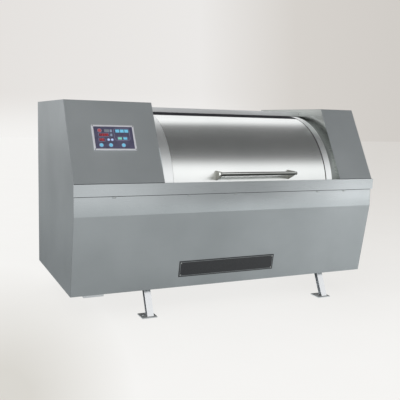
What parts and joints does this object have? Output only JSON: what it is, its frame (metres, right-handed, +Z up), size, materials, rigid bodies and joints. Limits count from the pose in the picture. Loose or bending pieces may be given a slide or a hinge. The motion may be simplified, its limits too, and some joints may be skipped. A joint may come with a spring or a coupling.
{
  "type": "industrial stone washing machine",
  "caption": "Long stainless washing machine with a belt driven drum behind a curved door that slides up, on four short legs.",
  "frame": {"origin": "on the floor, midway along the length and the depth", "axes": "+X along the machine towards the narrow box, +Y towards the back, +Z up"},
  "size_m": [2.516, 1.4625, 1.564],
  "materials": {
    "satin_steel": "satin stainless sheet",
    "bright_steel": "bright rolled stainless sheet",
    "tub_steel": "mill finish stainless sheet",
    "turned_steel": "turned and polished steel",
    "frame_paint": "grey primer paint",
    "cast_iron": "painted casting",
    "black_rubber": "matt black rubber",
    "nylon": "natural nylon",
    "panel_film": "dark violet film",
    "box_paint": "grey housing",
    "display_plastic": "tinted windows and lamps",
    "red_plastic": "red key cap",
    "blue_plastic": "light blue key cap",
    "brass": "brass fittings"
  },
  "bodies": {
    "cabinet": {"frame_rails": "frame_paint", "frame_cross_members": "frame_paint", "leg_front_left": "bright_steel", "leg_front_right": "bright_steel", "leg_rear_left": "bright_steel", "leg_rear_right": "bright_steel", "motor_base": "frame_paint", "jackshaft_bracket": "frame_paint", "left_end_panel": "satin_steel", "right_end_panel": "satin_steel", "left_hood": "satin_steel", "right_hood": "satin_steel", "left_inner_wall": "satin_steel", "right_inner_wall": "bright_steel", "front_band": "bright_steel", "front_apron": "satin_steel", "rear_panels": "satin_steel", "centre_top_cover": "bright_steel", "top_seal": "black_rubber", "tub_shell": "tub_steel", "tub_ends": "tub_steel", "guide_ring_left": "bright_steel", "guide_ring_right": "bright_steel", "bearing_stands": "frame_paint", "bearing_housings": "cast_iron", "drum_bearings": "turned_steel", "shaft_seals": "black_rubber", "motor_housing": "frame_paint", "motor_belts": "black_rubber", "drum_belts": "black_rubber", "control_frame": "bright_steel", "control_face": "panel_film", "control_box": "box_paint", "panel_displays": "display_plastic", "drain_pipe": "satin_steel", "drain_valve_body": "cast_iron", "inlet_pipes": "brass"},
    "outer_door": {"door_sheet": "bright_steel", "door_handle": "turned_steel", "door_shoes": "nylon", "door_seal": "black_rubber"},
    "drum": {"drum_shell": "bright_steel", "drum_door_guides": "bright_steel", "drum_ends": "bright_steel", "drum_lifters": "bright_steel", "drum_shafts": "turned_steel", "drum_pulley": "cast_iron"},
    "inner_door_left": {"drum_door_left": "satin_steel"},
    "inner_door_right": {"drum_door_right": "satin_steel"},
    "latch_left": {"drum_latch_left": "turned_steel"},
    "latch_right": {"drum_latch_right": "turned_steel"},
    "jackshaft": {"jackshaft": "turned_steel"},
    "motor_rotor": {"motor_rotor": "turned_steel"},
    "drain_disc": {"drain_valve_disc": "turned_steel"},
    "key_stop_body": {"key_stop": "red_plastic"},
    "key_low_left_body": {"key_low_left": "blue_plastic"},
    "key_low_middle_body": {"key_low_middle": "blue_plastic"},
    "key_low_right_body": {"key_low_right": "blue_plastic"},
    "key_small_left_body": {"key_small_left": "blue_plastic"},
    "key_small_right_body": {"key_small_right": "blue_plastic"}
  },
  "joints": [
    {"name": "outer_door_slide", "type": "hinge", "parent": "cabinet", "child": "outer_door", "pos_m": [0, -0.013, 0.865], "axis": [-1, 0, 0], "range_deg": [0, 65]},
    {"name": "drum_spin", "type": "hinge", "parent": "cabinet", "child": "drum", "pos_m": [0, -0.013, 0.865], "axis": [1, 0, 0], "continuous": true},
    {"name": "jackshaft_spin", "type": "hinge", "parent": "cabinet", "child": "jackshaft", "pos_m": [0, 0.33065, 0.52135], "axis": [1, 0, 0], "continuous": true},
    {"name": "motor_spin", "type": "hinge", "parent": "cabinet", "child": "motor_rotor", "pos_m": [0, -0.3, 0.372], "axis": [1, 0, 0], "continuous": true},
    {"name": "drain_valve_turn", "type": "hinge", "parent": "cabinet", "child": "drain_disc", "pos_m": [0.66, 0.107, 0.21], "axis": [-1, 0, 0], "range_deg": [0, 90]},
    {"name": "inner_door_left_slide", "type": "hinge", "parent": "drum", "child": "inner_door_left", "pos_m": [0, -0.013, 0.865], "axis": [-1, 0, 0], "range_deg": [0, 40]},
    {"name": "latch_left_turn", "type": "hinge", "parent": "inner_door_left", "child": "latch_left", "pos_m": [-0.19475, -0.41605, 1.26805], "axis": [0, -0.7071, 0.7071], "range_deg": [0, 90]},
    {"name": "inner_door_right_slide", "type": "hinge", "parent": "drum", "child": "inner_door_right", "pos_m": [0, -0.013, 0.865], "axis": [-1, 0, 0], "range_deg": [0, 40]},
    {"name": "latch_right_turn", "type": "hinge", "parent": "inner_door_right", "child": "latch_right", "pos_m": [0.50775, -0.41605, 1.26805], "axis": [0, -0.7071, 0.7071], "range_deg": [0, 90]},
    {"name": "key_stop_press", "type": "slide", "parent": "cabinet", "child": "key_stop_body", "axis": [0, 0.8771, -0.4804], "range_m": [0, 0.0015], "stiffness_N_per_m": 300, "springref_m": -0.001},
    {"name": "key_low_left_press", "type": "slide", "parent": "cabinet", "child": "key_low_left_body", "axis": [0, 0.8771, -0.4804], "range_m": [0, 0.0015], "stiffness_N_per_m": 300, "springref_m": -0.001},
    {"name": "key_low_middle_press", "type": "slide", "parent": "cabinet", "child": "key_low_middle_body", "axis": [0, 0.8771, -0.4804], "range_m": [0, 0.0015], "stiffness_N_per_m": 300, "springref_m": -0.001},
    {"name": "key_low_right_press", "type": "slide", "parent": "cabinet", "child": "key_low_right_body", "axis": [0, 0.8771, -0.4804], "range_m": [0, 0.0015], "stiffness_N_per_m": 300, "springref_m": -0.001},
    {"name": "key_small_left_press", "type": "slide", "parent": "cabinet", "child": "key_small_left_body", "axis": [0, 0.8771, -0.4804], "range_m": [0, 0.0015], "stiffness_N_per_m": 300, "springref_m": -0.001},
    {"name": "key_small_right_press", "type": "slide", "parent": "cabinet", "child": "key_small_right_body", "axis": [0, 0.8771, -0.4804], "range_m": [0, 0.0015], "stiffness_N_per_m": 300, "springref_m": -0.001}
  ],
  "couplings": [
    {"joint": "jackshaft_spin", "follows": "drum_spin", "ratio": 6.1639},
    {"joint": "motor_spin", "follows": "drum_spin", "ratio": 26.264}
  ]
}
